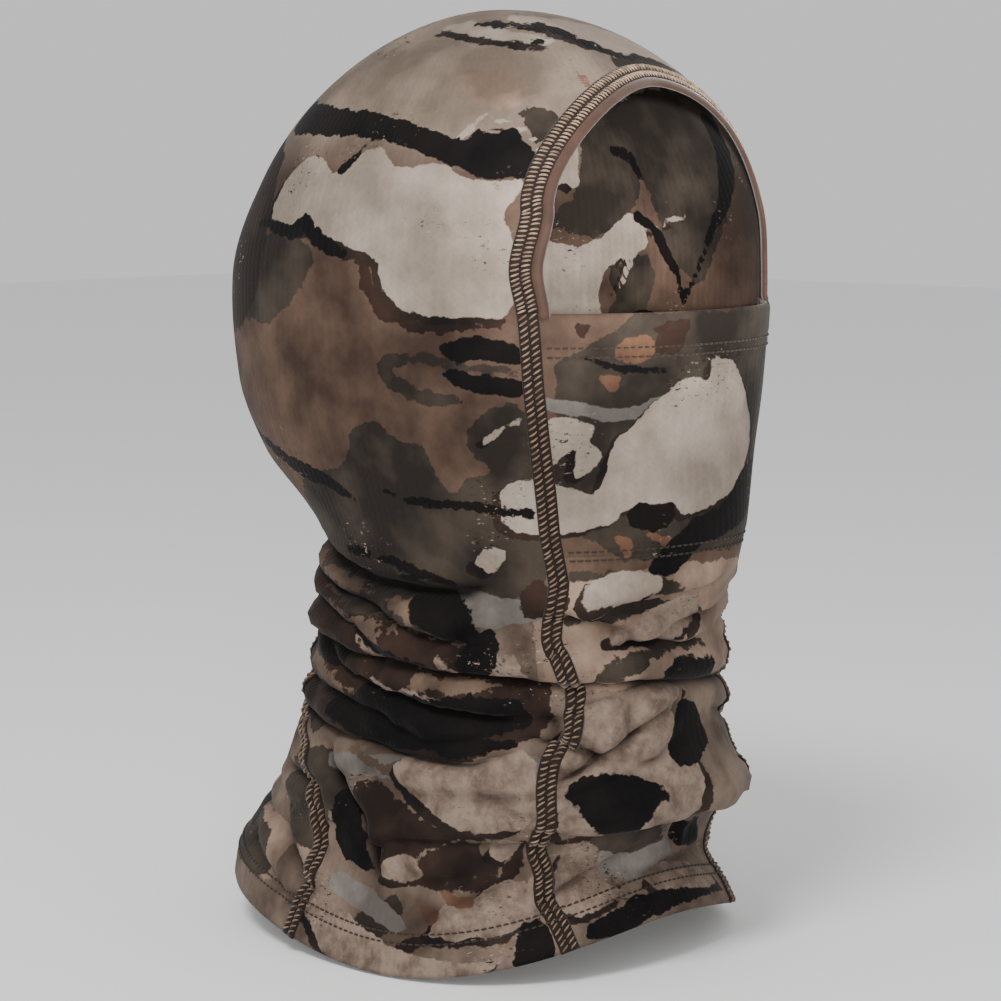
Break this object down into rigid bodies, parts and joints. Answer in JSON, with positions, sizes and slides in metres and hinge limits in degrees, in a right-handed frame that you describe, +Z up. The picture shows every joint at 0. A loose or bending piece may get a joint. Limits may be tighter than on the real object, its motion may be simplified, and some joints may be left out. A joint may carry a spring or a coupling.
{
  "type": "camo face mask",
  "caption": "Full-head stretch-knit face mask with a large face opening, a stitched mouth panel that pulls down, and a bunched neck gaiter with a flared hem.",
  "frame": {"origin": "inside of the crown, where the top of the wearer's head seats", "axes": "+Z up, the face looks along -Y, the wearer's left side is +X; worn shape, standing as on a head"},
  "size_m": [0.1612, 0.1982, 0.3217],
  "materials": {
    "camo_knit": null,
    "camo_facing": "the same printed jersey folded inside, slightly paler and flatter",
    "seam_thread": "flat four-thread seam of light brown looping thread over dark brown cover thread",
    "needle_thread": "dark brown textured polyester thread, matte",
    "binding_tape": "smooth reddish-brown elastic tape, soft sheen",
    "label_tape": "blank white woven satin tape"
  },
  "bodies": {
    "hood": {"hood_shell": "camo_knit", "mask_panel": "camo_knit", "neck_front_panel": "camo_knit", "back_gusset": "camo_knit", "opening_edge_seam": "seam_thread", "opening_binding": "binding_tape", "face_seam_right": "seam_thread", "face_seam_left": "seam_thread", "centre_back_seam": "seam_thread", "gusset_seam_right": "seam_thread", "gusset_seam_left": "seam_thread", "chin_seam_allowance": "camo_facing", "chin_stitch_upper": "needle_thread", "chin_stitch_lower": "needle_thread", "bottom_hem_facing": "camo_facing", "hem_stitch_upper": "needle_thread", "hem_stitch_lower": "needle_thread", "blank_care_label": "label_tape"},
    "mask_top": {"nose_hem_facing": "camo_facing", "nose_stitch_upper": "needle_thread", "nose_stitch_lower": "needle_thread"}
  },
  "joints": [
    {"name": "mask_pull_down", "type": "slide", "parent": "hood", "child": "mask_top", "axis": [0, 0, -1], "range_m": [0, 0.045], "deforming": ["mask_panel"]}
  ]
}
